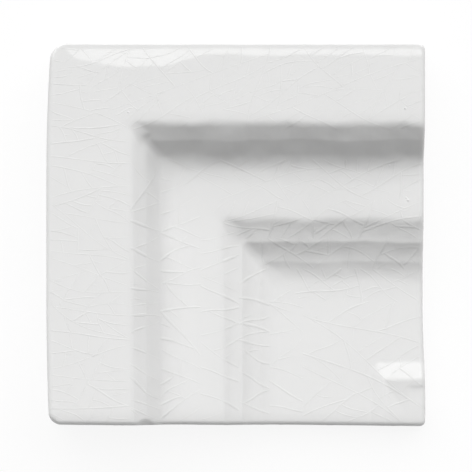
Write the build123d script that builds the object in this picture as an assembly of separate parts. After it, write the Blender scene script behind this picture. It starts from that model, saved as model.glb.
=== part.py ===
from build123d import *
from math import cos, radians, sin, tan
import os

# A pressed ceramic corner insert. A run of mouldings follows the two outer edges and turns a mitred
# corner. It falls from a broad outer band to a sunk panel, and the corner of the next raised field
# stands at the inner corner. The tile lies on its back: +Z is the face, and the mitre runs from the
# outer corner at -X +Y to the inner corner at +X -Y. The origin is the middle of the back.

# Widths across the run of mouldings, from an outer edge inwards, in millimetres
OUTER_BAND = 13.4
SHOULDER = 3.2
BEVEL = 2.3
CAVETTO = 10.7
MIDDLE_BAND = 2.8
NOSING = 2.9
FIRST_FLUTE = 3.6
SECOND_FLUTE = 3.9
FOOT_COVE = 7.2
PANEL = 13.0
FIELD_BEVEL = 3.6
FIELD = 8.4

# Slopes of the mouldings, in degrees below the level of the face, or above it for the raised field
BEVEL_SLOPE = 32.0
CAVETTO_SLOPE = 43.0
NOSING_SLOPE = 24.0
FLUTE_END_SLOPE = 15.0
SECOND_FLUTE_SLOPE = 28.0
FOOT_COVE_SLOPE = 21.0
FIELD_SLOPE = 8.0

# Thickness of the body, roundings and draft, in millimetres and degrees
PANEL_THICKNESS = 7.6
ARRIS_RADIUS = 1.0
FIELD_FOOT_RADIUS = 3.0
FIELD_CREST_RADIUS = 3.0
VALLEY_RADIUS = 5.0
FIELD_CORNER = 0.4
OUTER_CORNER_RADIUS = 3.2
EDGE_ROLL = 1.2
END_ROUND = 0.7
BACK_ROUND = 0.4
DRAFT = 1.0

SIDE = (OUTER_BAND + SHOULDER + BEVEL + CAVETTO + MIDDLE_BAND + NOSING + FIRST_FLUTE
        + SECOND_FLUTE + FOOT_COVE + PANEL + FIELD_BEVEL + FIELD)
HALF = SIDE / 2
TOUCHING = 1e-4


def arc_width(radius, slope_in, slope_out):
    """Width of an arc of that radius that turns from one slope to another."""
    return radius * abs(sin(radians(slope_out)) - sin(radians(slope_in)))


def fall(run):
    """Height that a run of (width, slope in, slope out) loses: an arc's chord has its mean slope."""
    return sum(width * tan(radians((slope_in + slope_out) / 2)) for width, slope_in, slope_out in run)


def run_prism(run, start_x, start_z):
    """Solid under a run of lines and tangent arcs, from start_x to the inner edge."""
    edges = []
    x, z = start_x, start_z
    for width, slope_in, slope_out in run:
        start = (x, z)
        x += width
        z -= fall([(width, slope_in, slope_out)])
        if slope_in == slope_out:
            edges.append(Line(start, (x, z)))
        else:
            heading = (cos(radians(slope_in)), -sin(radians(slope_in)))
            edges.append(TangentArc(start, (x, z), tangent=heading))
    edges.append(Polyline((x, z), (x, 0), (start_x, 0), (start_x, start_z)))
    return extrude(Plane.XZ * make_face(Curve() + edges), HALF, both=True)


def mitred(prism):
    """The same prism along the other outer edge, as its mirror image across the mitre."""
    return mirror(prism, about=Plane(origin=(0, 0, 0), z_dir=(1, 1, 0)))


def falling_mouldings():
    """The run from the outer band down to the panel, and the height of its outer band."""
    cavetto_arris = arc_width(ARRIS_RADIUS, BEVEL_SLOPE, CAVETTO_SLOPE)
    flute_arris = arc_width(ARRIS_RADIUS, FLUTE_END_SLOPE, SECOND_FLUTE_SLOPE)
    foot_arris = arc_width(ARRIS_RADIUS, FLUTE_END_SLOPE, FOOT_COVE_SLOPE)
    run = [
        (OUTER_BAND, 0, 0),
        (SHOULDER, 0, BEVEL_SLOPE),
        (BEVEL, BEVEL_SLOPE, BEVEL_SLOPE),
        (cavetto_arris, BEVEL_SLOPE, CAVETTO_SLOPE),
        (CAVETTO - cavetto_arris, CAVETTO_SLOPE, 0),
        (MIDDLE_BAND, 0, 0),
        (NOSING, 0, NOSING_SLOPE),
        (FIRST_FLUTE, NOSING_SLOPE, FLUTE_END_SLOPE),
        (flute_arris, FLUTE_END_SLOPE, SECOND_FLUTE_SLOPE),
        (SECOND_FLUTE - flute_arris, SECOND_FLUTE_SLOPE, FLUTE_END_SLOPE),
        (foot_arris, FLUTE_END_SLOPE, FOOT_COVE_SLOPE),
        (FOOT_COVE - foot_arris, FOOT_COVE_SLOPE, 0),
        (PANEL + FIELD_BEVEL + FIELD, 0, 0),
    ]
    height = PANEL_THICKNESS + fall(run)
    return run_prism(run, -HALF, height), height


def raised_field():
    """The raised field: a square boss about the inner corner, with bevelled sides and a rounded crest."""
    width = 2 * (FIELD_BEVEL + FIELD)
    foot = RectangleRounded(width, width, FIELD_CORNER + FIELD_BEVEL)
    boss = extrude(foot, FIELD_BEVEL * tan(radians(FIELD_SLOPE)), taper=90 - FIELD_SLOPE)
    boss = fillet(boss.faces().sort_by(Axis.Z)[-1].edges(), FIELD_CREST_RADIUS)
    return Pos(HALF, -HALF, PANEL_THICKNESS) * boss


def field_foot_edges(solid):
    """Edges where the raised field stands on the panel."""
    reach = FIELD_BEVEL + FIELD + TOUCHING
    at_panel = solid.edges().filter_by(lambda edge: abs(edge.center().Z - PANEL_THICKNESS) < TOUCHING)
    return at_panel.filter_by(lambda edge: edge.center().X > HALF - reach and edge.center().Y < reach - HALF)


def valley_edges(solid):
    """Edges along the mitre, where the two arms of the falling mouldings meet."""
    def on_mitre(edge):
        points = (edge @ 0.0, edge @ 0.5, edge @ 1.0)
        return all(abs(point.X + point.Y) < TOUCHING for point in points)
    start, end = OUTER_BAND - HALF, HALF - FIELD - FIELD_BEVEL
    return solid.edges().filter_by(lambda edge: on_mitre(edge) and start < edge.center().X < end)


def round_outer_edges(solid, height):
    """Round the outer corner, then roll the face over the two outer edges."""
    outer_corner = Vector(-HALF, HALF, height / 2)
    solid = fillet(solid.edges().sort_by(lambda edge: (edge.center() - outer_corner).length)[0],
                   OUTER_CORNER_RADIUS)
    band_edges = solid.edges().filter_by(lambda edge: edge.center().Z > height - TOUCHING)
    rim = band_edges.filter_by(lambda edge: edge.center().Y - edge.center().X > SIDE - OUTER_BAND
                               or edge.center().Y > HALF - OUTER_BAND / 2
                               or edge.center().X < OUTER_BAND / 2 - HALF)
    return fillet(rim, EDGE_ROLL)


def round_inner_edges(solid):
    """Round the two inner sides, where the run of mouldings ends, and then the back."""
    ends = ShapeList()
    for end_face in (solid.faces().sort_by(Axis.X)[-1], solid.faces().sort_by(Axis.Y)[0]):
        ends += end_face.edges().filter_by(lambda edge: edge.center().Z > TOUCHING)
    solid = fillet(ShapeList(set(ends)), END_ROUND)
    return fillet(solid.faces().sort_by(Axis.Z)[0].edges(), BACK_ROUND)


def corner_insert_tile():
    arm, height = falling_mouldings()
    relief = arm + mitred(arm) + raised_field()
    tile = relief & extrude(Rectangle(SIDE, SIDE), height, taper=DRAFT)
    tile = fillet(field_foot_edges(tile), FIELD_FOOT_RADIUS)
    tile = fillet(valley_edges(tile), VALLEY_RADIUS)
    return round_inner_edges(round_outer_edges(tile, height))


os.makedirs("parts", exist_ok=True)
export_step(corner_insert_tile(), "parts/corner_insert_tile.step")
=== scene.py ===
"""The glazed corner insert tile: pressed body, crackle in the glaze, and a plain studio stage."""
import cmath
import math
import random
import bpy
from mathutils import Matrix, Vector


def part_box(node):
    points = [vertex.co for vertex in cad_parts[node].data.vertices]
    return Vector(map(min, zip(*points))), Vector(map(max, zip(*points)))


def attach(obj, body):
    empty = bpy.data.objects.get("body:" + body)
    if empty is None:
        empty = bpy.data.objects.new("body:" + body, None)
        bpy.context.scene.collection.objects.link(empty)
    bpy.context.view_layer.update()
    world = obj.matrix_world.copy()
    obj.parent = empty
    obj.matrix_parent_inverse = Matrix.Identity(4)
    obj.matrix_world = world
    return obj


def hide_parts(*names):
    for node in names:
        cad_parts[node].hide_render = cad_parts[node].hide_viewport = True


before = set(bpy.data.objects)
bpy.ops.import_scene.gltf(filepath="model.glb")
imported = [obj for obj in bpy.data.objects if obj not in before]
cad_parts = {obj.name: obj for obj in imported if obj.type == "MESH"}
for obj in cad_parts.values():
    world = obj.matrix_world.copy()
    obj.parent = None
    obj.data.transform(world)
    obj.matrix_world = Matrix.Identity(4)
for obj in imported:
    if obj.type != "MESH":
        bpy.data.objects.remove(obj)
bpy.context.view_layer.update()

from types import SimpleNamespace

import bpy

bl_info = {
    "name": "Ceramic Corner Insert Tile",
    "version": (1, 0, 0),
    "blender": (4, 5, 0),
    "location": "View3D > Sidebar > Tile",
    "description": "Presses, glazes and stages a moulded ceramic corner insert tile",
    "category": "Add Mesh",
}

CAD_NODE = "corner_insert_tile"
TILE_LOW, TILE_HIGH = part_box(CAD_NODE)
TILE_BODY = "tile_body"
GLAZE_SLOT = "crackle_glaze"

# Rows of faces on the tile: across the face, then down the edge roll, the wall, the foot and the back
FACE_CELLS = 268
ROLL_ROWS = 5
WALL_ROWS = 8
FOOT_ROWS = 3
BACK_ROWS = 3
EDGE_ROWS = ROLL_ROWS + WALL_ROWS + FOOT_ROWS + BACK_ROWS

# Flecks in the glaze: place to the right, place above, both in millimetres, and size as a share
FLECKS = ((-21.0, 23.95, 0.9), (32.4, 24.7, 1.0), (29.7, 13.9, 0.8), (33.0, 7.5, 0.9), (33.3, 7.05, 1.1))

# Named attributes of points: how strongly a crack or a fleck shows, and the way the glaze below it faces
STRENGTH = "strength"
LIE = "lie"

# Height from which rays are sent straight down, and lengths that count as nothing, in metres
HIGH_ABOVE = 0.1
TOUCHING = 1e-6
NOTHING = 1e-9


def length(name, description, millimetres):
    """A length property, with its default given in millimetres."""
    return bpy.props.FloatProperty(name=name, description=description, default=millimetres / 1000,
                                   precision=5, subtype="DISTANCE", unit="LENGTH")


def angle(name, description, degrees):
    """An angle property, with its default given in degrees."""
    return bpy.props.FloatProperty(name=name, description=description, default=math.radians(degrees),
                                   subtype="ANGLE", unit="ROTATION")


def number(name, description, value):
    """A plain number property."""
    return bpy.props.FloatProperty(name=name, description=description, default=value, precision=4)


def colour(name, description, value):
    """A colour property."""
    return bpy.props.FloatVectorProperty(name=name, description=description, default=value, size=3,
                                         min=0.0, max=1.0, subtype="COLOR")


class TileSizes(bpy.types.PropertyGroup):
    """Sizes of the pressed body. Widths run from an outer edge inwards."""
    side: length("Side", "Width of the tile at its back", (TILE_HIGH[0] - TILE_LOW[0]) * 1000)
    outer_band: length("Outer Band", "Flat band along the two outer edges", 13.25)
    shoulder_lead: length("Shoulder Lead", "Gentle start of the shoulder", 1.7)
    shoulder: length("Shoulder", "Rounded shoulder over the bevel", 1.5)
    bevel: length("Bevel", "Straight bevel below the shoulder", 2.2)
    arris: length("Arris", "Width of each rounded arris", 0.3)
    cavetto: length("Cavetto", "Hollow below the bevel", 3.7)
    cavetto_wall: length("Cavetto Wall", "Straight steep part at the top of the cavetto", 2.4)
    cavetto_run: length("Cavetto Run", "Gentle run-out of the cavetto", 2.4)
    middle_band: length("Middle Band", "Flat band below the cavetto", 4.24)
    nosing_lead: length("Nosing Lead", "Gentle start of the nosing", 1.85)
    nosing: length("Nosing", "Rounded nosing at the second step", 1.45)
    first_flute: length("First Flute", "Shallow flute below the nosing", 3.45)
    second_flute: length("Second Flute", "Shallow flute below the first", 3.6)
    foot_cove: length("Foot Cove", "Cove that runs out into the panel", 4.1)
    foot_run: length("Foot Run", "Gentle run-out of the foot cove", 3.8)
    panel_thickness: length("Panel Thickness", "Thickness of the body under the sunk panel", 7.03)
    valley_radius: length("Valley Radius", "Rounding of the mouldings in plan along the mitre", 1.4)
    bevel_radius: length("Bevel Radius", "How much rounder it is on the bevel and the first flute", 1.4)
    cove_radius: length("Cove Radius", "How much rounder it is at the foot of the cavetto", 1.4)
    foot_radius: length("Foot Radius", "How much rounder it is at the foot of the run", 0.8)
    set_in: length("Set In", "How much further in the first step lies on the left arm", 0.9)
    run_on: length("Run On", "How much further still the cavetto runs out there", 1.5)
    foot_in: length("Foot In", "How much further out the foot of the run lies there", 0.5)
    band_rise: angle("Band Rise", "Slope at which the middle band rises from the cavetto", 2.0)
    lead_slope: angle("Lead Slope", "Slope at the end of the shoulder lead", 3.5)
    run_slope: angle("Run Slope", "Slope at the start of each run-out", 3.2)
    bevel_slope: angle("Bevel Slope", "Slope of the bevel", 37.5)
    cavetto_slope: angle("Cavetto Slope", "Slope at the top of the cavetto", 47.5)
    nosing_slope: angle("Nosing Slope", "Slope at the end of the nosing", 28.0)
    first_end_slope: angle("First Flute End", "Slope at the end of the first flute", 14.5)
    second_slope: angle("Second Flute Slope", "Slope at the start of the second flute", 34.5)
    second_end_slope: angle("Second Flute End", "Slope at the end of the second flute", 16.0)
    foot_slope: angle("Foot Slope", "Slope at the start of the foot cove", 26.0)
    field: length("Field", "Raised field at the inner corner, from its crest to the lower edge", 8.6)
    field_side: length("Field Side", "Raised field, from its crest to the right edge", 8.0)
    field_side_bevel: length("Field Side Bevel", "Bevelled border on the left of the field", 2.9)
    field_bevel: length("Field Bevel", "Bevelled border of the raised field", 4.4)
    field_foot: length("Field Foot", "Hollow at the foot of the field's bevel", 0.7)
    field_crest: length("Field Crest", "Rounding at the field's crest", 0.7)
    field_slope: angle("Field Slope", "Slope of the field's bevel", 6.0)
    field_hollow: length("Field Hollow", "Shallow hollow behind the field's crest", 6.5)
    field_back: angle("Field Back", "Slope just behind the field's crest", 7.0)
    field_dent: length("Field Dent", "Depth of the dent behind the crest at the right edge", 0.09)
    field_corner: length("Field Corner", "Plan radius at the foot of the field's corner", 3.4)
    lip: length("Lip", "Width of the strip that tips towards the upper edge", 2.5)
    lip_lobe: length("Lip Lobe", "How much wider that strip is near the outer corner", 2.3)
    lip_rim: length("Lip Rim", "Level strip between the tipped one and the upper edge", 1.0)
    lip_start: length("Lip Start", "Soft start of the tipped strip", 0.6)
    lip_tilt: angle("Lip Tilt", "Tilt of the strip along the upper edge", 3.6)
    cushion_width: length("Cushion Width", "Width of the soft fall towards the lower edge", 5.0)
    cushion_depth: length("Cushion Depth", "Depth of the soft fall at the lower edge", 0.3)
    chip_x: length("Chip X", "Place of the chip in the lower edge, to the right of the middle", -18.1)
    chip_radius: length("Chip Radius", "Radius of the chip in plan", 1.6)
    chip_depth: length("Chip Depth", "Depth of the chip at the edge", 0.6)
    upper_roll: length("Upper Roll", "Radius of the glazed roll along the upper edge", 0.03)
    left_roll: length("Left Roll", "Radius of the glazed roll along the left edge", 0.8)
    lower_roll: length("Lower Roll", "Radius of the glazed roll along the lower edge", 0.8)
    right_roll: length("Right Roll", "Radius of the glazed roll along the right edge", 1.05)
    outer_corner: length("Outer Corner", "Plan radius of the outer corner", 3.2)
    left_corner: length("Left Corner", "Plan radius of the lower left corner", 2.4)
    right_corner: length("Right Corner", "Plan radius of the upper right corner", 1.4)
    inner_corner: length("Inner Corner", "Plan radius of the inner corner", 1.1)
    foot_round: length("Foot Round", "Rounding of the walls into the back", 0.4)
    draft: angle("Draft", "Draft of the walls", 1.0)
    left_bow_upper: length("Left Bow Upper", "How far the left side draws in near the outer corner", 0.9)
    left_bow_lower: length("Left Bow Lower", "How far the left side draws in near the lower edge", 0.5)
    lower_rise: length("Lower Rise", "How far the lower edge rises towards the left", 0.8)
    right_draw: length("Right Draw", "How far the right side draws in above the field", 0.53)
    narrowing: number("Narrowing", "Share by which the outline has drawn in across", 0.0095)
    waviness: length("Waviness", "Height of the slow unevenness of the face", 0.05)
    wander: length("Wander", "Slow unevenness of the mouldings in plan", 0.5)
    ripple: length("Ripple", "Finer unevenness of the mouldings in plan", 1.5)


class CrackleSizes(bpy.types.PropertyGroup):
    """Sizes of the crackle lines in the glaze."""
    half_width: length("Half Width", "Half the width of a crackle line", 0.215)
    height: length("Height", "Height of a crackle line above the glaze", 0.0215)
    sink: length("Sink", "Depth of a crackle line's edges below the glaze", 0.007)
    overhang: length("Overhang", "How far a crackle line's crest leans to its lower side", 0.04)
    step: length("Step", "Distance between points along a line", 0.4)
    pivot: length("Pivot", "Distance from the edges of the point about which lines turn over them", 2.0)
    stop: length("Stop", "Lowest height of the lines on the walls", 3.9)


class FleckSizes(bpy.types.PropertyGroup):
    """Sizes of the flecks that stand in the glaze."""
    radius: length("Radius", "Radius of a full fleck", 0.24)
    flatness: number("Flatness", "Height of a fleck, as a share of its radius", 0.25)


class CracklePattern(bpy.types.PropertyGroup):
    """How the crackle divides the glaze."""
    spacing: length("Spacing", "Usual width of a cell of the crackle", 5.2)
    strips: bpy.props.FloatVectorProperty(
        name="Strips", description="Distances from the outer edges at which a moulding's cracks end",
        default=(0.0165, 0.0222, 0.0300, 0.0375, 0.0435), size=5, unit="LENGTH")
    panel: length("Panel", "Distance from the outer edges at which the panel begins", 50.0)
    band: length("Band", "Width of the outer bands, whose cracks run their own way", 16.0)
    upper_lean: angle("Upper Lean", "Usual lean of the cracks on the upper band", 26.0)
    left_lean: angle("Left Lean", "Usual lean of the cracks on the left band", -5.0)
    inner_lean: angle("Inner Lean", "Usual lean of the other cracks, to either side", 24.0)
    turn: angle("Turn", "Usual turn from one crack to the next across a long cell", 58.0)
    scatter: angle("Scatter", "Usual departure from the lean", 12.0)
    bow: number("Bow", "Usual bow of a crack, as a share of its length", 0.035)
    spurs: number("Spurs", "Share of the cells with a short crack that ends inside them", 0.25)
    seed: bpy.props.IntProperty(name="Seed", description="Seed of the crackle", default=11)


class GlazeFinish(bpy.types.PropertyGroup):
    """Colours and finish of the glaze and the bare body."""
    glaze: colour("Glaze", "Colour of the glazed face", (0.80, 0.80, 0.795))
    body: colour("Body", "Colour of the bare fired body", (0.74, 0.71, 0.66))
    roughness: number("Roughness", "Roughness of the glaze", 0.12)
    shine: number("Shine", "Specular level of the glaze", 0.5)
    crackle_shade: number("Crackle Shade", "Colour of the crackle lines, as a share of the glaze's", 0.985)
    crackle_shine: number("Crackle Shine", "Specular level along the crackle lines", 0.0)
    glaze_line: length("Glaze Line", "Height at which the glaze ends on the walls", 2.2)


class StageSettings(bpy.types.PropertyGroup):
    """Camera and light."""
    camera_height: length("Camera Height", "Height of the camera above the outer band", 620.0)
    frame_width: length("Frame Width", "Width of the picture at the outer band", 90.98)
    camera_x: length("Camera X", "Camera's place to the right of the tile's middle", -0.217)
    camera_y: length("Camera Y", "Camera's place above the tile's middle", 0.044)
    key_power: number("Key Power", "Power of the large soft light", 1075.0)
    key_x: length("Key X", "The large soft light's place to the right", 350.0)
    sky: number("Sky", "Strength of the even light all round", 0.09)
    paper: number("Paper", "Share of plain white in the floor as it is seen", 0.9)


def math_node(operation, reflected=False):
    """A method that adds a Math node to a socket, which stands last among the values if reflected."""
    def method(self, *others):
        values = (*others, self) if reflected else (self, *others)
        return self.graph.add("ShaderNodeMath", {"operation": operation}, dict(enumerate(values)))
    return method


class Socket:
    """An output socket of a node tree. Arithmetic on it adds Math nodes."""
    __add__ = math_node("ADD")
    __radd__ = math_node("ADD", reflected=True)
    __sub__ = math_node("SUBTRACT")
    __rsub__ = math_node("SUBTRACT", reflected=True)
    __mul__ = math_node("MULTIPLY")
    __rmul__ = math_node("MULTIPLY", reflected=True)
    __truediv__ = math_node("DIVIDE")
    __rtruediv__ = math_node("DIVIDE", reflected=True)
    __pow__ = math_node("POWER")
    __abs__ = math_node("ABSOLUTE")
    sin = math_node("SINE")
    cos = math_node("COSINE")
    tan = math_node("TANGENT")
    sqrt = math_node("SQRT")
    above = math_node("MAXIMUM")
    below = math_node("MINIMUM")
    greater = math_node("GREATER_THAN")
    less = math_node("LESS_THAN")

    def __init__(self, graph, socket):
        self.graph = graph
        self.socket = socket

    def __neg__(self):
        return self * -1.0

    def between(self, low=0.0, high=1.0):
        return self.above(low).below(high)

    def out(self, output):
        """Another output of the same node."""
        return Socket(self.graph, self.socket.node.outputs[output])


class Graph:
    """A node tree that is being written."""

    def __init__(self, tree):
        self.tree = tree

    def add(self, kind, settings=None, sockets=None, output=0):
        """Add a node: its settings first, then the values or links of its sockets."""
        node = self.tree.nodes.new(kind)
        for name, value in (settings or {}).items():
            setattr(node, name, value)
        for key, value in (sockets or {}).items():
            if isinstance(value, Socket):
                self.tree.links.new(value.socket, node.inputs[key])
            else:
                node.inputs[key].default_value = value
        return Socket(self, node.outputs[output]) if len(node.outputs) else node

    def split(self, vector):
        parts = self.add("ShaderNodeSeparateXYZ", None, {0: vector})
        return parts, parts.out(1), parts.out(2)

    def join(self, x, y, z):
        return self.add("ShaderNodeCombineXYZ", None, {0: x, 1: y, 2: z})

    def place(self):
        """Coordinates of each point."""
        return self.split(self.add("GeometryNodeInputPosition"))

    def stored(self, name, kind="FLOAT"):
        """A named attribute of each point."""
        return self.add("GeometryNodeInputNamedAttribute", {"data_type": kind}, {"Name": name})

    def store(self, geometry, name, value, kind="FLOAT"):
        """Keep a value at each point as a named attribute."""
        return self.add("GeometryNodeStoreNamedAttribute", {"data_type": kind, "domain": "POINT"},
                        {"Geometry": geometry, "Name": name, "Value": value})

    def smooth(self, geometry):
        return self.add("GeometryNodeSetShadeSmooth", None, {"Geometry": geometry, "Shade Smooth": True})

    def ramp(self, value, low, high):
        """A smooth step from 0 at low to 1 at high."""
        return self.add("ShaderNodeMapRange", {"interpolation_type": "SMOOTHSTEP"},
                        {"Value": value, "From Min": low, "From Max": high, "To Min": 0.0, "To Max": 1.0})

    def blend(self, factor, first, second):
        """A number between two others."""
        return first + (second - first) * factor

    def tint(self, factor, first, second):
        """A colour between two others."""
        return self.add("ShaderNodeMix", {"data_type": "RGBA"}, {0: factor, 6: first, 7: second}, 2)

    def noise(self, vector, scale, detail):
        """Noise about 0.5, with its scale for each metre."""
        return self.add("ShaderNodeTexNoise", None, {"Vector": vector, "Scale": scale, "Detail": detail})

    def drift(self, vector, scale, detail):
        """Three numbers that wander about 0."""
        cloud = self.noise(vector, scale, detail).out("Color")
        middle = (0.5, 0.5, 0.5)
        return self.split(self.add("ShaderNodeVectorMath", {"operation": "SUBTRACT"}, {0: cloud, 1: middle}))

    def raycast(self, target, source, aim, reach):
        """Where a ray from a source meets the target."""
        return self.add("GeometryNodeRaycast", None,
                        {"Target Geometry": target, "Source Position": source, "Ray Direction": aim,
                         "Ray Length": reach})

    def look_down(self, target, x, y):
        """Where a ray straight down at a plan place meets the target."""
        return self.raycast(target, self.join(x, y, HIGH_ABOVE), (0.0, 0.0, -1.0), 2 * HIGH_ABOVE)

    def in_view(self):
        """1 for what the camera sees, also in a reflection or through glass, and 0 for what only lights."""
        path = self.add("ShaderNodeLightPath")
        seen = path.out("Is Camera Ray").above(path.out("Is Glossy Ray"))
        return seen.above(path.out("Is Transmission Ray"))


def shader_graph(owner):
    """The emptied shader tree of a material or a world."""
    owner.use_nodes = True
    owner.node_tree.nodes.clear()
    return Graph(owner.node_tree)


def open_tree(name, sizes):
    """A geometry tree with one named input for each size of a property group."""
    tree = bpy.data.node_groups.new(name, "GeometryNodeTree")
    tree.interface.new_socket("Geometry", in_out="INPUT", socket_type="NodeSocketGeometry")
    tree.interface.new_socket("Geometry", in_out="OUTPUT", socket_type="NodeSocketGeometry")
    props = [prop for prop in sizes.bl_rna.properties if prop.type == "FLOAT"]
    for prop in props:
        tree.interface.new_socket(prop.name, in_out="INPUT", socket_type="NodeSocketFloat")
    graph = Graph(tree)
    geometry = graph.add("NodeGroupInput")
    inputs = {prop.identifier: geometry.out(prop.name) for prop in props}
    return graph, geometry, SimpleNamespace(**inputs)


def close_tree(graph, geometry, material):
    """End a geometry tree with real geometry in its material."""
    real = graph.add("GeometryNodeRealizeInstances", None, {"Geometry": geometry})
    dressed = graph.add("GeometryNodeSetMaterial", None, {"Geometry": real, "Material": material})
    graph.add("NodeGroupOutput", {"is_active_output": True}, {0: dressed})


def grow(name, mesh, tree, sizes):
    """Run a geometry tree on a mesh and keep its result as a glazed piece, a plain mesh object."""
    piece = bpy.data.objects.new(name, mesh)
    bpy.context.scene.collection.objects.link(piece)
    modifier = piece.modifiers.new(name, "NODES")
    modifier.node_group = tree
    by_name = {prop.name: prop.identifier for prop in sizes.bl_rna.properties}
    for item in tree.interface.items_tree:
        if item.in_out == "INPUT" and item.name in by_name:
            modifier[item.identifier] = getattr(sizes, by_name[item.name])
    evaluated = piece.evaluated_get(bpy.context.evaluated_depsgraph_get())
    result = bpy.data.meshes.new_from_object(evaluated)
    piece.modifiers.clear()
    piece.data = result
    result.name = name
    bpy.data.meshes.remove(mesh)
    if not result.polygons:
        raise RuntimeError(f"{name} came out empty")
    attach(piece, "root")
    return piece


def rounded_least(u, v, radius):
    """The lesser of two distances, with contours that turn the corner on an arc of that radius."""
    apart = abs(u - v)
    arc = (2 * radius * radius - apart.below(radius) * apart.below(radius)).sqrt()
    return (u + v - apart.above(radius) + arc - radius) * 0.5


def fall_along(distance, run):
    """Height lost at a distance along a run of (width, slope in, slope out). No slope is level."""
    lost = start = 0.0
    for width, slope_in, slope_out in run:
        along = (distance - start).between(0.0, width)
        if slope_in is not slope_out:
            sine_in, cosine_in = (slope_in.sin(), slope_in.cos()) if slope_in else (0.0, 1.0)
            change = (slope_out.sin() if slope_out else 0.0) - sine_in
            sine = sine_in + change * along / width
            lost = lost + (cosine_in - (1.0 - sine * sine).sqrt()) * width / change
        elif slope_in:
            lost = lost + along * slope_in.tan()
        start = start + width
    return lost


def folded_blank(graph, side):
    """A flat sheet of the tile's size, with the rows of its edges hung below it one unit apart."""
    points = FACE_CELLS + 1
    sheet = graph.add("GeometryNodeMeshGrid", None,
                      {"Size X": side, "Size Y": side, "Vertices X": points, "Vertices Y": points})
    faces_beside = graph.add("GeometryNodeInputMeshEdgeNeighbors")
    rim = graph.add("FunctionNodeCompare", {"data_type": "INT", "operation": "EQUAL"},
                    {2: faces_beside, 3: 1})
    one_row = graph.join(0.0, 0.0, -1.0)
    for _ in range(EDGE_ROWS):
        sheet = graph.add("GeometryNodeExtrudeMesh", {"mode": "EDGES"},
                          {"Mesh": sheet, "Selection": rim, "Offset": one_row, "Offset Scale": 1.0})
        rim = sheet.out("Top")
    return sheet


# Where the left arm departs from the upper one: spans of distance from the left edge, in metres. MITRE_CLEAR
# is how much nearer to the left edge than to the upper one a place is, and LAG_EASED is a share.
MITRE_CLEAR = (0.004, 0.02)
LAG_BEGINS = (0.011, 0.0148)
LAG_GROWS = (0.0145, 0.0175)
LAG_EASES = (0.018, 0.0225)
LAG_EASED = 0.7
LAG_ENDS = (0.030, 0.040)
RUN_ON_BEGINS = (0.0215, 0.0285)
RUN_ON_ENDS = (0.0285, 0.0365)
FOOT_IN_BEGINS = (0.037, 0.0435)
FOOT_IN_ENDS = (0.046, 0.058)


def along_left_arm(graph, size, u, v):
    """Distance from the left edge, as it counts on the left arm: its first step lags and its foot leads."""
    clear = graph.ramp(v - u, *MITRE_CLEAR)
    lag = size.set_in * (graph.ramp(u, *LAG_BEGINS) + graph.ramp(u, *LAG_GROWS)) * 0.5
    lag = lag * (1.0 - LAG_EASED * graph.ramp(u, *LAG_EASES) * (1.0 - clear))
    lag = lag * (1.0 - graph.ramp(u, *LAG_ENDS))
    run_on = size.run_on * graph.ramp(u, *RUN_ON_BEGINS) * clear * (1.0 - graph.ramp(u, *RUN_ON_ENDS))
    foot_in = size.foot_in * graph.ramp(u, *FOOT_IN_BEGINS) * (1.0 - graph.ramp(u, *FOOT_IN_ENDS))
    return u - lag - run_on + foot_in


# How far before the end of the bevel and of the first flute the mitre starts to grow rounder, in half widths
BEVEL_LEAD = 3.2
FLUTE_LEAD = 2.4


def mitre_radius(graph, size, u, v):
    """Plan radius of the mitre, which is least along the arrises."""
    first_cove = size.outer_band + size.shoulder_lead + size.shoulder + size.bevel
    first_foot = first_cove + size.cavetto_wall + size.cavetto
    nosing = first_foot + size.cavetto_run + size.middle_band
    last_cove = nosing + size.nosing_lead + size.nosing + size.first_flute + size.second_flute
    last_foot = last_cove + size.foot_cove
    least = rounded_least(u, v, size.valley_radius)
    hollow = graph.ramp(least, first_cove + size.cavetto_wall, first_foot)
    hollow = hollow - graph.ramp(least, first_foot, nosing)
    foot = graph.ramp(least, last_cove, last_foot)
    second_arris = last_cove - size.second_flute
    between = 0.0
    for arris, width, lead in ((first_cove, size.bevel, BEVEL_LEAD),
                               (second_arris, size.first_flute, FLUTE_LEAD)):
        half = width * 0.5
        between = between + graph.ramp(least, arris - half * lead, arris - half)
        between = between - graph.ramp(least, arris - half, arris)
    radius = size.valley_radius + size.bevel_radius * between + size.cove_radius * hollow
    return radius + size.foot_radius * foot


def mouldings(graph, size, x, y, drift_x, drift_y):
    """Height of the run of mouldings, which falls from the outer band to the panel."""
    half = size.side * 0.5
    v = half - y + drift_y
    u = along_left_arm(graph, size, x + half + drift_x, v)
    distance = rounded_least(u, v, mitre_radius(graph, size, u, v))
    run = [
        (size.outer_band, None, None),
        (size.shoulder_lead, None, size.lead_slope),
        (size.shoulder, size.lead_slope, size.bevel_slope),
        (size.bevel, size.bevel_slope, size.bevel_slope),
        (size.arris, size.bevel_slope, size.cavetto_slope),
        (size.cavetto_wall, size.cavetto_slope, size.cavetto_slope),
        (size.cavetto, size.cavetto_slope, size.run_slope),
        (size.cavetto_run, size.run_slope, -size.band_rise),
        (size.middle_band, -size.band_rise, None),
        (size.nosing_lead, None, size.lead_slope),
        (size.nosing, size.lead_slope, size.nosing_slope),
        (size.first_flute, size.nosing_slope, size.first_end_slope),
        (size.arris, size.first_end_slope, size.second_slope),
        (size.second_flute, size.second_slope, size.second_end_slope),
        (size.arris, size.second_end_slope, size.foot_slope),
        (size.foot_cove, size.foot_slope, size.run_slope),
        (size.foot_run, size.run_slope, None),
    ]
    return size.panel_thickness + fall_along(size.side, run) - fall_along(distance, run)


# The dent behind the field's crest, in metres: its span right of the middle, and its spans below the crest
DENT_ACROSS = (0.0335, 0.0352)
DENT_BEGINS = (0.0004, 0.0011)
DENT_ENDS = (0.0015, 0.0045)


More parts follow.
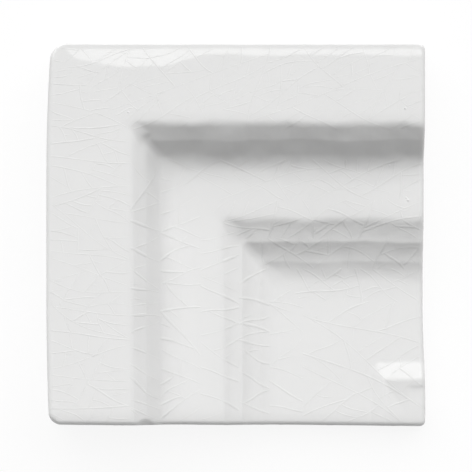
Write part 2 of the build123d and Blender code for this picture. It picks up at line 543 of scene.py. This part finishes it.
def raised_field(graph, size, x, y, drift_x, drift_y):
    """Height of the raised field at the inner corner above the panel."""
    half = size.side * 0.5
    p = size.field_side + size.field_side_bevel - (half - x) + drift_x
    p = p * size.field_bevel / size.field_side_bevel
    q = size.field + size.field_bevel - (half + y) + drift_y
    corner = size.field_corner
    short_p, short_q = (corner - p).above(0.0), (corner - q).above(0.0)
    inwards = corner - (short_p * short_p + short_q * short_q).sqrt() + (p.below(q) - corner).above(0.0)
    bevel = size.field_bevel - size.field_foot - size.field_crest
    rise = fall_along(inwards, [
        (size.field_foot, None, size.field_slope),
        (bevel, size.field_slope, size.field_slope),
        (size.field_crest, size.field_slope, -size.field_back),
        (size.field_hollow, -size.field_back, None),
    ])
    crest = size.field - half
    dent = graph.ramp(x, *DENT_ACROSS) * graph.ramp(y, crest - DENT_BEGINS[0], crest - DENT_BEGINS[1])
    dent = dent * (1.0 - graph.ramp(y, crest - DENT_ENDS[0], crest - DENT_ENDS[1]))
    return rise - size.field_dent * dent


# Spans of the lip along the upper edge, in metres right of the middle. Then, as plain numbers, how sharply
# the cushion falls and how much the chip is flattened.
LIP_BEGINS = (-0.0368, -0.0322)
LOBE_BEGINS = (-0.037, -0.023)
LOBE_ENDS = (-0.0155, -0.006)
CUSHION_CURVE = 4.0
CHIP_FLATNESS = 1.3


def soft_edges(graph, size, x, y, drift_y):
    """Height that the face loses along its upper and lower edges."""
    half = size.side * 0.5
    lobe = graph.ramp(x, *LOBE_BEGINS) * (1.0 - graph.ramp(x, *LOBE_ENDS))
    strip = (size.lip + size.lip_lobe * lobe + drift_y) * graph.ramp(x, *LIP_BEGINS)
    tipped = fall_along((strip - (half - y)).below(strip - size.lip_rim), [
        (size.lip_start, None, size.lip_tilt),
        (size.side, size.lip_tilt, size.lip_tilt),
    ])
    nearness = (1.0 - (half + y) / size.cushion_width).above(0.0)
    chip_x, chip_y = x - size.chip_x, (y + half) * CHIP_FLATNESS
    chip_off = (chip_x * chip_x + chip_y * chip_y) / (size.chip_radius * size.chip_radius)
    chip = (1.0 - chip_off).above(0.0)
    return tipped + size.cushion_depth * nearness ** CUSHION_CURVE + size.chip_depth * chip


def fold_edges(graph, size, x, y, row, height):
    """Places of the sheet's points: the face rolls over its edges into walls, a foot and the back."""
    half = size.side * 0.5
    right, upper = x.greater(0.0), y.greater(0.0)
    radius = graph.blend(upper, graph.blend(right, size.left_corner, size.inner_corner),
                         graph.blend(right, size.outer_corner, size.right_corner))
    core = half - radius
    core_x, core_y = x.between(-core, core), y.between(-core, core)
    off_x, off_y = x - core_x, y - core_y
    ring = abs(off_x).above(abs(off_y))
    off = (off_x * off_x + off_y * off_y).sqrt().above(NOTHING)
    out_x, out_y = off_x / off, off_y / off
    side_roll = graph.blend(right, size.left_roll, size.right_roll)
    end_roll = graph.blend(upper, size.lower_roll, size.upper_roll)
    roll = (side_roll * out_x * out_x + end_roll * out_y * out_y).above(TOUCHING)
    inset = radius - ring
    turn = ((1.0 - inset / roll).between() + (row / ROLL_ROWS).between()) * (math.pi / 4)
    down_wall = ((row - ROLL_ROWS) / WALL_ROWS).between()
    round_foot = ((row - ROLL_ROWS - WALL_ROWS) / FOOT_ROWS).between() * (math.pi / 2)
    over_back = ((row - ROLL_ROWS - WALL_ROWS - FOOT_ROWS) / BACK_ROWS).between()
    foot = size.foot_round
    wall_z = graph.blend(down_wall, height - roll * (1.0 - turn.cos()), foot)
    level = wall_z - foot * round_foot.sin()
    spread = radius - inset.above(roll) + roll * turn.sin() - foot * (1.0 - round_foot.cos())
    spread = ring.greater(0.0) * spread
    narrowing = (1.0 - level * size.draft.tan() / half) * (1.0 - over_back)
    return (core_x + out_x * spread) * narrowing, (core_y + out_y * spread) * narrowing, level


# Spans from the middle over which the outline draws in, in metres: to either side, then upwards or
# downwards. The bow grows with a power of its share of the reach.
TO_LEFT = (-0.012, -0.037)
TO_RIGHT = (0.005, 0.037)
BOW_START = 0.012
BOW_REACH = 0.0255
BOW_CURVE = 2.0
DRAW_BEGINS = (-0.032, -0.014)
RISE_BEGINS = (-0.005, -0.037)


def hand_pressed(graph, size, x, y):
    """Plan places after the outline has drawn in unevenly, as a hand-pressed tile's does."""
    half = size.side * 0.5
    to_left, to_right = graph.ramp(x, *TO_LEFT), graph.ramp(x, *TO_RIGHT)
    upwards = ((y - BOW_START) / BOW_REACH).above(0.0)
    downwards = ((-y - BOW_START) / BOW_REACH).above(0.0)
    bow = size.left_bow_upper * upwards ** BOW_CURVE + size.left_bow_lower * downwards ** BOW_CURVE
    draw = size.right_draw * graph.ramp(y, *DRAW_BEGINS)
    rise = size.lower_rise * (0.5 - x / (half * 2.0)) * graph.ramp(y, *RISE_BEGINS)
    return (x + bow * to_left - draw * to_right) * (1.0 - size.narrowing), y + rise


# Unevenness of the pressed body: scale and detail of its noises, and the left arm's share of the upper one's
SLOW_DRIFT = (28.0, 1.0)
QUICK_DRIFT = (130.0, 2.5)
FACE_WAVES = (55.0, 1.0)
LEFT_DRIFT = 0.2


def press_tree(sizes, material):
    """The tree that presses the tile: a blank sheet with folded edges, moved onto the moulded shape."""
    graph, _, size = open_tree("press_tile", sizes)
    sheet = folded_blank(graph, size.side)
    x, y, z = graph.place()
    flat = graph.join(x, y, 0.0)
    slow_x, slow_y, _ = graph.drift(flat, *SLOW_DRIFT)
    quick_x, quick_y, _ = graph.drift(flat, *QUICK_DRIFT)
    drift_x = (slow_x * size.wander + quick_x * size.ripple) * LEFT_DRIFT
    drift_y = slow_y * size.wander + quick_y * size.ripple
    height = mouldings(graph, size, x, y, drift_x, drift_y)
    height = height + raised_field(graph, size, x, y, drift_x, drift_y)
    height = height - soft_edges(graph, size, x, y, drift_y)
    height = height + (graph.noise(flat, *FACE_WAVES) - 0.5) * size.waviness * 2.0
    x, y, level = fold_edges(graph, size, x, y, -z, height)
    x, y = hand_pressed(graph, size, x, y)
    pressed = graph.add("GeometryNodeSetPosition", None,
                        {"Geometry": sheet, "Position": graph.join(x, y, level)})
    pressed = graph.add("GeometryNodeMergeByDistance", None, {"Geometry": pressed, "Distance": TOUCHING})
    close_tree(graph, graph.smooth(pressed), material)
    return graph.tree


def cross(first, second):
    """Cross product of two plan vectors, which are complex numbers here."""
    return (first.conjugate() * second).imag


def crossings(cell, place, heading):
    """The outline points nearest behind and ahead on a line through a place: (distance, edge, point)."""
    found = []
    for index, start in enumerate(cell):
        edge = cell[(index + 1) % len(cell)] - start
        slant = cross(heading, edge)
        if slant and 0.0 <= cross(start - place, heading) / slant < 1.0:
            distance = cross(start - place, edge) / slant
            found.append((distance, index, place + heading * distance))
    behind = max((hit for hit in found if hit[0] < 0.0), default=None)
    ahead = min((hit for hit in found if hit[0] > 0.0), default=None)
    return behind, ahead


def middle_and_area(cell):
    """Centre of area and area of a cell."""
    turns = [(cross(cell[index - 1], point), cell[index - 1] + point) for index, point in enumerate(cell)]
    twice = sum(turn for turn, _ in turns)
    return sum(turn * both for turn, both in turns) / (3 * twice), abs(twice) / 2


def outline_part(cell, first, last):
    """Points of a cell's outline from one to another, the way round that they are kept."""
    count = (last - first) % len(cell) + 1
    return [cell[(first + step) % len(cell)] for step in range(count)]


# Steps of a crack's line: their usual length in metres, and the fewest
CRACK_STEP = 0.0012
FEWEST_STEPS = 4


def bowed(start, end, bow, sway):
    """Points of a crack between two ends, with a bow and an S-bend as shares of its length."""
    reach = end - start
    count = max(FEWEST_STEPS, round(abs(reach) / CRACK_STEP))
    shares = [step / count for step in range(count + 1)]
    return [start + reach * share
            + reach * 1j * (bow * math.sin(math.pi * share) + sway * math.sin(2 * math.pi * share))
            for share in shares]


# How the cracks show: strength on the two outer bands, range of strength, waves of strength with the range
# of their number, length in metres, mean and swing, and the taper at the ends, its length in metres first
UPPER_STRENGTH = 0.7
LEFT_STRENGTH = 0.9
STRENGTHS = (0.6, 1.15)
WAVES = (0.5, 1.5)
WAVE_LENGTH = 0.009
WAVE_MEAN = 0.92
WAVE_SWING = 0.14
TAPER_LENGTH = 0.0011
TAPER_LEAST = 0.75

# How cells divide: share of the spacing where cells are small, length to width of a long cell, how far off
# their middle they crack, range of the spacing, and the short cracks' range of length, strength and tail
SMALL_CELLS = 0.75
LONG_CELL = 2.0
OFF_MIDDLE = 0.14
SPACINGS = (0.65, 1.3)
SPUR_LENGTHS = (0.35, 0.75)
SPUR_STRENGTH = 0.8
SPUR_TAIL = 0.25


class Crackle:
    """Cracks that divide the glaze again and again, each new one ending on older ones."""

    def __init__(self, pattern, half):
        self.pattern = pattern
        self.half = half
        self.chance = random.Random(pattern.seed)
        self.cracks = []

    def lean(self, place):
        """A crack's direction and strength at a place, and the cells' share of the usual spacing."""
        pattern, chance = self.pattern, self.chance
        from_left, from_top = place.real + self.half, self.half - place.imag
        if from_top < min(from_left, pattern.band):
            return chance.gauss(pattern.upper_lean, pattern.scatter), UPPER_STRENGTH, SMALL_CELLS
        if from_left < min(from_top, pattern.band):
            return chance.gauss(pattern.left_lean, pattern.scatter), LEFT_STRENGTH, SMALL_CELLS
        share = SMALL_CELLS if from_top < min(from_left, pattern.panel) else 1.0
        return chance.choice((-1, 1)) * chance.gauss(pattern.inner_lean, pattern.scatter), 1.0, share

    def crack(self, start, end, strength, tail):
        """A bowed crack between two points, whose strength falls to a tail."""
        chance, pattern = self.chance, self.pattern
        points = bowed(start, end, chance.gauss(0.0, pattern.bow), chance.gauss(0.0, pattern.bow / 3))
        strength *= chance.uniform(*STRENGTHS)
        waves = chance.uniform(*WAVES) * abs(end - start) / WAVE_LENGTH
        phase = chance.uniform(0.0, math.tau)
        taper = TAPER_LENGTH / abs(end - start)
        fade = []
        for step in range(len(points)):
            share = step / (len(points) - 1)
            wave = WAVE_MEAN + WAVE_SWING * math.sin(phase + waves * share * math.tau)
            inside = min(1.0, share / taper, (1.0 - share) / taper)
            ends = TAPER_LEAST + (1.0 - TAPER_LEAST) * inside
            fade.append((1.0 + (tail - 1.0) * share ** 2) * wave * ends)
        self.cracks.append((points, [strength * share for share in fade]))
        return points[1:-1]

    def divide(self, cell):
        """Crack a cell across, and then its two parts, down to the usual spacing."""
        chance, pattern = self.chance, self.pattern
        place, area = middle_and_area(cell)
        lean, strength, share = self.lean(place)
        heading = cmath.rect(1.0, lean)
        turned = [point / heading for point in cell]
        long = max(point.real for point in turned) - min(point.real for point in turned)
        wide = max(point.imag for point in turned) - min(point.imag for point in turned)
        if long > LONG_CELL * wide:
            turn = chance.choice((-1, 1)) * chance.gauss(pattern.turn, pattern.scatter)
            heading *= cmath.rect(1.0, turn)
        shift = heading * 1j * chance.uniform(-OFF_MIDDLE, OFF_MIDDLE) * min(long, wide)
        behind, ahead = crossings(cell, place + shift, heading)
        if behind is None or ahead is None:
            return
        if area < (pattern.spacing * share * chance.uniform(*SPACINGS)) ** 2:
            if chance.random() < pattern.spurs:
                tip = behind[2] + (ahead[2] - behind[2]) * chance.uniform(*SPUR_LENGTHS)
                self.crack(behind[2], tip, strength * SPUR_STRENGTH, SPUR_TAIL)
            return
        between = self.crack(behind[2], ahead[2], strength, 1.0)
        far_side = outline_part(cell, ahead[1] + 1, behind[1])
        near_side = outline_part(cell, behind[1] + 1, ahead[1])
        self.divide([ahead[2], *far_side, behind[2], *between])
        self.divide([behind[2], *near_side, ahead[2], *reversed(between)])

    def mesh(self):
        """The cracks as lines of a flat mesh, with their strength at each point."""
        points, edges, strengths = [], [], []
        for line, strength in self.cracks:
            if line[0].real > line[-1].real:
                line, strength = line[::-1], strength[::-1]
            edges += [(len(points) + step, len(points) + step + 1) for step in range(len(line) - 1)]
            points += [(point.real, point.imag, 0.0) for point in line]
            strengths += strength
        mesh = bpy.data.meshes.new("cracks")
        mesh.from_pydata(points, edges, [])
        mesh.attributes.new(STRENGTH, "FLOAT", "POINT").data.foreach_set("value", strengths)
        return mesh


def rectangle(left, right, low, high):
    """Corners of a plan rectangle."""
    return [complex(left, low), complex(right, low), complex(right, high), complex(left, high)]


def crackle_mesh(pattern, half, fold, wall):
    """Crackle of the face, and of the four walls as strips folded out beside it."""
    crackle = Crackle(pattern, half)
    face = half - fold
    strips = [half - face, *pattern.strips, pattern.panel]
    for near, far in zip(strips, strips[1:]):
        near, far = half - near, half - far
        upper = [complex(-near, near), complex(face, near), complex(face, far), complex(-far, far)]
        crackle.divide(upper)
        crackle.divide([-1j * point.conjugate() for point in upper])
    crackle.divide(rectangle(pattern.panel - half, face, -face, half - pattern.panel))
    for left, right, low, high in ((-face - wall, -face, -face, face), (face, face + wall, -face, face),
                                   (-face, face, face, face + wall), (-face, face, -face - wall, -face)):
        crackle.divide(rectangle(left, right, low, high))
    return crackle.mesh()


# How the lines lie on the tile: length of the rays that set them down, in metres, fewest points of a line,
# points of a ridge's curve, and the fold in radians past which an edge of the ridge is sharp
RAY_LENGTH = 0.03
FEWEST_POINTS = 3.0
RIDGE_POINTS = 5
SHARP_FOLD = 1.0

# Strength of the lines: share left over an edge and its span of turn in radians, growth with the slope where
# the glaze pools and its limit, and the share left on the steep wall, by the upright part of its normal
OVER_EDGE = 0.25
EDGE_SPAN = (0.08, 0.25)
POOLING = 8.0
POOLED_MOST = 0.7
WALL_UPRIGHT = 0.68
WALL_SPAN = (0.03, 0.1)
ON_WALL = 0.45


def crackle_tree(sizes, tile, material):
    """The tree that lays flat lines on the tile, over its edges too, and gives them a low ridge."""
    graph, flat_lines, size = open_tree("lay_crackle", sizes)
    lines = graph.add("GeometryNodeMeshToCurve", None, {"Mesh": flat_lines})
    lines = graph.add("GeometryNodeResampleCurve", {"mode": "LENGTH"},
                      {"Curve": lines, "Length": size.step})
    body = graph.add("GeometryNodeObjectInfo", None, {"Object": tile}).out("Geometry")

    # Each point is aimed at the tile: straight down on the face, and turning about a pivot over its edges
    x, y, _ = graph.place()
    pivot = size.pivot
    reach = tile.dimensions.x / 2 - pivot
    near_x, near_y = x.between(-reach, reach), y.between(-reach, reach)
    off_x, off_y = x - near_x, y - near_y
    over = (off_x * off_x + off_y * off_y).sqrt()
    out_x, out_y = off_x / over.above(NOTHING), off_y / over.above(NOTHING)
    fold = pivot * (math.pi / 2)
    turn = (over / fold).between() * (math.pi / 2)
    _, _, top = graph.split(graph.look_down(body, near_x, near_y).out("Hit Position"))
    level = top - pivot - (over - fold).above(0.0)
    out_x, out_y, up = out_x * turn.sin(), out_y * turn.sin(), turn.cos()
    source = graph.join(near_x + out_x * RAY_LENGTH, near_y + out_y * RAY_LENGTH, level + up * RAY_LENGTH)
    hit = graph.raycast(body, source, graph.join(-out_x, -out_y, -up), RAY_LENGTH)
    lines = graph.store(lines, LIE, hit.out("Hit Normal"), "FLOAT_VECTOR")
    off_edge = graph.ramp(abs(turn - math.pi / 4), *EDGE_SPAN)
    lines = graph.store(lines, STRENGTH, graph.stored(STRENGTH) * graph.blend(off_edge, OVER_EDGE, 1.0))
    lines = graph.add("GeometryNodeSetPosition", None,
                      {"Geometry": lines, "Selection": hit, "Position": hit.out("Hit Position")})

    # What misses the tile or lies below the glaze goes
    _, _, z = graph.place()
    lines = graph.add("GeometryNodeDeleteGeometry", {"domain": "POINT"},
                      {"Geometry": lines, "Selection": z.less(size.stop)})
    points_left = graph.add("GeometryNodeSplineLength").out("Point Count")
    lines = graph.add("GeometryNodeDeleteGeometry", {"domain": "CURVE"},
                      {"Geometry": lines, "Selection": points_left.less(FEWEST_POINTS)})

    # A low ridge, a little stronger where the glaze has pooled on the slopes
    lie = graph.stored(LIE, "FLOAT_VECTOR")
    _, _, upright = graph.split(lie)
    pooled = (POOLING * (1.0 - upright)).between(0.0, POOLED_MOST)
    strength = graph.stored(STRENGTH) * (1.0 + pooled)
    strength = strength * graph.blend(graph.ramp(abs(upright - WALL_UPRIGHT), *WALL_SPAN), ON_WALL, 1.0)
    lines = graph.add("GeometryNodeSetCurveNormal", {"mode": "FREE"}, {"Curve": lines, "Normal": lie})
    ridge = graph.add("GeometryNodeCurveQuadraticBezier", None,
                      {"Resolution": RIDGE_POINTS, "Start": graph.join(-size.sink, -size.half_width, 0.0),
                       "Middle": graph.join(size.height * 2.0 + size.sink, size.overhang, 0.0),
                       "End": graph.join(-size.sink, size.half_width, 0.0)})
    ridge = graph.add("GeometryNodeSetSplineCyclic", None, {"Geometry": ridge, "Cyclic": True})
    ridges = graph.add("GeometryNodeCurveToMesh", None,
                       {"Curve": lines, "Profile Curve": ridge, "Scale": strength, "Fill Caps": True})
    folded = graph.add("GeometryNodeInputMeshEdgeAngle").greater(SHARP_FOLD)
    ridges = graph.add("GeometryNodeSetShadeSmooth", {"domain": "EDGE"},
                       {"Geometry": graph.smooth(ridges), "Selection": folded, "Shade Smooth": False})
    close_tree(graph, ridges, material)
    return graph.tree


def fleck_mesh():
    """The places of the flecks as loose points, with their size at each."""
    mesh = bpy.data.meshes.new("flecks")
    mesh.from_pydata([(x / 1000, y / 1000, 0.0) for x, y, _ in FLECKS], [], [])
    shares = [share for _, _, share in FLECKS]
    mesh.attributes.new(STRENGTH, "FLOAT", "POINT").data.foreach_set("value", shares)
    return mesh


# Faces round a fleck and from its top to its foot
FLECK_SEGMENTS = 16
FLECK_RINGS = 10


def fleck_tree(sizes, tile, material):
    """The tree that sets a low dome on the tile at each point."""
    graph, points, size = open_tree("set_flecks", sizes)
    body = graph.add("GeometryNodeObjectInfo", None, {"Object": tile}).out("Geometry")
    x, y, _ = graph.place()
    top = graph.look_down(body, x, y).out("Hit Position")
    points = graph.add("GeometryNodeSetPosition", None, {"Geometry": points, "Position": top})
    ball = graph.add("GeometryNodeMeshUVSphere", None,
                     {"Segments": FLECK_SEGMENTS, "Rings": FLECK_RINGS, "Radius": size.radius})
    ball = graph.add("GeometryNodeTransform", None,
                     {"Geometry": ball, "Scale": graph.join(1.0, 1.0, size.flatness)})
    share = graph.stored(STRENGTH)
    flecks = graph.add("GeometryNodeInstanceOnPoints", None,
                       {"Points": points, "Instance": ball, "Scale": graph.join(share, share, share)})
    flecks = graph.add("GeometryNodeRealizeInstances", None, {"Geometry": flecks})
    close_tree(graph, graph.smooth(flecks), material)
    return graph.tree


# Noises of the glaze and the bare body: scale for each metre, and detail
LINE_NOISE = (90.0, 3.0)
MOTTLE_NOISE = (70.0, 3.0)
GRAIN_NOISE = (1800.0, 2.0)
SWELL_NOISE = (260.0, 1.0)

# The glaze's lower line: how far it wanders and how soft it is, in metres
LINE_WANDER = 0.003
LINE_SOFT = 0.00012

# Tones of the glaze: shares of its colour, share of mottling and of the painted shade, which darkens it
# slowly from the lower edge to the upper, span of that change in metres, and what is left even
GLAZE_TONES = (0.965, 1.035)
MOTTLE_SHARE = 0.5
PAINTED_SHADE_SHARE = 0.45
PAINTED_SHADE_SPAN = (0.055, -0.055)
EVEN_SHARE = 0.03
BODY_TONE = 0.86

# Roughness and relief
ROUGHNESS_SWING = 0.04
BODY_ROUGHNESS = 0.85
SWELL_SHARE = 0.25
RELIEF_STRENGTH = 0.5
RELIEF_DEPTH = 0.00004
GLAZE_IOR = 1.45


def glaze_material(finish, shine, shade):
    """White glaze over a fired body, which shows bare on the back and the foot of the walls."""
    material = bpy.data.materials.new(GLAZE_SLOT)
    graph = shader_graph(material)
    place = graph.add("ShaderNodeTexCoord").out("Object")
    _, y, z = graph.split(place)
    edge = finish.glaze_line + (graph.noise(place, *LINE_NOISE) - 0.5) * LINE_WANDER
    bare = 1.0 - graph.ramp(z - edge, -LINE_SOFT, LINE_SOFT)
    mottle_and_painted_shade = graph.noise(place, *MOTTLE_NOISE) * MOTTLE_SHARE
    # Painted shade: the glaze is made darker towards the upper edge and lighter towards the lower
    mottle_and_painted_shade = mottle_and_painted_shade + graph.ramp(y, *PAINTED_SHADE_SPAN) * PAINTED_SHADE_SHARE + EVEN_SHARE
    grain = graph.noise(place, *GRAIN_NOISE)
    dark, light = ([min(channel * shade * tone, 1.0) for channel in finish.glaze] for tone in GLAZE_TONES)
    glaze = graph.tint(mottle_and_painted_shade, [*dark, 1.0], [*light, 1.0])
    body = graph.tint(grain, [channel * BODY_TONE for channel in finish.body] + [1.0], [*finish.body, 1.0])
    roughness = graph.blend(bare, finish.roughness + (mottle_and_painted_shade - 0.5) * ROUGHNESS_SWING, BODY_ROUGHNESS)
    swell = graph.noise(place, *SWELL_NOISE) * (1.0 - bare) * SWELL_SHARE + grain * bare
    bump = graph.add("ShaderNodeBump", None,
                     {"Strength": RELIEF_STRENGTH, "Distance": RELIEF_DEPTH, "Height": swell})
    surface = graph.add("ShaderNodeBsdfPrincipled", None,
                        {"Base Color": graph.tint(bare, glaze, body), "Roughness": roughness,
                         "Normal": bump, "IOR": GLAZE_IOR, "Specular IOR Level": shine})
    graph.add("ShaderNodeOutputMaterial", None, {"Surface": surface})
    return material


def pressed_body():
    """The tile's body, which has to be there before anything is laid on it."""
    tile = bpy.data.objects.get(TILE_BODY)
    if tile is None:
        raise RuntimeError("The tile's body has to be pressed first")
    return tile


class TILE_OT_press_body(bpy.types.Operator):
    """Press the tile's body from its sizes"""
    bl_idname = "tile.press_body"
    bl_label = "Press Tile Body"

    def execute(self, context):
        sizes = context.scene.tile_sizes
        finish = context.scene.tile_finish
        tree = press_tree(sizes, glaze_material(finish, finish.shine, 1.0))
        tile = grow(TILE_BODY, bpy.data.meshes.new("blank"), tree, sizes)
        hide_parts(CAD_NODE)
        return {"FINISHED"}


class TILE_OT_crackle_glaze(bpy.types.Operator):
    """Lay the crackle lines on the glazed body"""
    bl_idname = "tile.crackle_glaze"
    bl_label = "Crackle Glaze"

    def execute(self, context):
        tile = pressed_body()
        sizes = context.scene.tile_crackle
        half, height = tile.dimensions.x / 2, tile.dimensions.z
        mesh = crackle_mesh(context.scene.tile_pattern, half, sizes.pivot / 4, height)
        finish = context.scene.tile_finish
        material = glaze_material(finish, finish.crackle_shine, finish.crackle_shade)
        grow("crackle_lines", mesh, crackle_tree(sizes, tile, material), sizes)
        return {"FINISHED"}


class TILE_OT_fleck_glaze(bpy.types.Operator):
    """Set a few flecks in the glaze"""
    bl_idname = "tile.fleck_glaze"
    bl_label = "Fleck Glaze"

    def execute(self, context):
        tile = pressed_body()
        sizes = context.scene.tile_flecks
        tree = fleck_tree(sizes, tile, tile.data.materials[0])
        grow("glaze_flecks", fleck_mesh(), tree, sizes)
        return {"FINISHED"}


# The stage, in metres: half the floor's side, the key light's nearer and farther edge as distance beyond the
# tile and height, its width, and the camera's clipping. The camera's sensor is in millimetres.
FLOOR_REACH = 6.0
KEY_NEAR = (1.02, 8.40)
KEY_FAR = (7.80, 2.10)
KEY_WIDTH = 14.4
CAMERA_CLIP = (0.01, 20.0)
CAMERA_SENSOR = 36.0
WHITE = (1.0, 1.0, 1.0, 1.0)
PAPER = (0.95, 0.95, 0.95, 1.0)


class TILE_OT_set_stage(bpy.types.Operator):
    """Set the floor, the lights and the camera"""
    bl_idname = "tile.set_stage"
    bl_label = "Set Stage"

    def execute(self, context):
        settings = context.scene.tile_stage
        scene = context.scene
        scene.view_settings.view_transform = "Standard"
        self.lay_floor(scene, settings)
        self.light(scene, settings)
        self.aim_camera(scene, settings)
        return {"FINISHED"}

    def lay_floor(self, scene, settings):
        mesh = bpy.data.meshes.new("floor")
        corners = rectangle(-FLOOR_REACH, FLOOR_REACH, -FLOOR_REACH, FLOOR_REACH)
        mesh.from_pydata([(corner.real, corner.imag, 0.0) for corner in corners], [], [(0, 1, 2, 3)])
        floor = bpy.data.objects.new("floor", mesh)
        scene.collection.objects.link(floor)
        material = bpy.data.materials.new("floor_white")
        graph = shader_graph(material)
        paper = graph.add("ShaderNodeBsdfDiffuse", None, {"Color": PAPER})
        white = graph.add("ShaderNodeEmission", None, {"Color": WHITE, "Strength": 1.0})
        surface = graph.add("ShaderNodeMixShader", None,
                            {0: graph.in_view() * settings.paper, 1: paper, 2: white})
        graph.add("ShaderNodeOutputMaterial", None, {"Surface": surface})
        mesh.materials.append(material)

    def light(self, scene, settings):
        world = bpy.data.worlds.new("studio")
        scene.world = world
        graph = shader_graph(world)
        strength = graph.blend(graph.in_view(), settings.sky, 1.0)
        sky = graph.add("ShaderNodeBackground", None, {"Color": WHITE, "Strength": strength})
        graph.add("ShaderNodeOutputWorld", None, {"Surface": sky})
        lamp = bpy.data.lights.new("key", "AREA")
        lamp.shape = "RECTANGLE"
        lamp.size, lamp.size_y = KEY_WIDTH, math.dist(KEY_NEAR, KEY_FAR)
        lamp.energy = settings.key_power
        key = bpy.data.objects.new("key", lamp)
        key.visible_camera = False
        scene.collection.objects.link(key)
        key.location = (settings.key_x, (KEY_NEAR[0] + KEY_FAR[0]) / 2, (KEY_NEAR[1] + KEY_FAR[1]) / 2)
        key.rotation_euler.x = -math.atan2(KEY_NEAR[1] - KEY_FAR[1], KEY_FAR[0] - KEY_NEAR[0])

    def aim_camera(self, scene, settings):
        lens = bpy.data.cameras.new("camera")
        lens.type = "PERSP"
        lens.sensor_width = CAMERA_SENSOR
        lens.lens = CAMERA_SENSOR * settings.camera_height / settings.frame_width
        camera = bpy.data.objects.new("camera", lens)
        scene.collection.objects.link(camera)
        camera.location = (settings.camera_x, settings.camera_y, TILE_HIGH[2] + settings.camera_height)
        lens.clip_start, lens.clip_end = CAMERA_CLIP
        scene.camera = camera


class TILE_PT_tools(bpy.types.Panel):
    """Pieces of the tile, in the order in which they are made"""
    bl_idname = "TILE_PT_tools"
    bl_label = "Corner Insert Tile"
    bl_space_type = "VIEW_3D"
    bl_region_type = "UI"
    bl_category = "Tile"

    def draw(self, context):
        for operator in OPERATORS:
            self.layout.operator(operator.bl_idname)


OPERATORS = (TILE_OT_press_body, TILE_OT_crackle_glaze, TILE_OT_fleck_glaze, TILE_OT_set_stage)
GROUPS = {"tile_sizes": TileSizes, "tile_crackle": CrackleSizes, "tile_pattern": CracklePattern,
          "tile_flecks": FleckSizes, "tile_finish": GlazeFinish, "tile_stage": StageSettings}
CLASSES = (*GROUPS.values(), *OPERATORS, TILE_PT_tools)


def register():
    for cls in CLASSES:
        bpy.utils.register_class(cls)
    for name, group in GROUPS.items():
        setattr(bpy.types.Scene, name, bpy.props.PointerProperty(type=group))


def unregister():
    for name in GROUPS:
        delattr(bpy.types.Scene, name)
    for cls in reversed(CLASSES):
        bpy.utils.unregister_class(cls)


def main():
    register()
    bpy.ops.tile.press_body()
    bpy.ops.tile.crackle_glaze()
    bpy.ops.tile.fleck_glaze()
    bpy.ops.tile.set_stage()


if __name__ == "__main__":
    main()
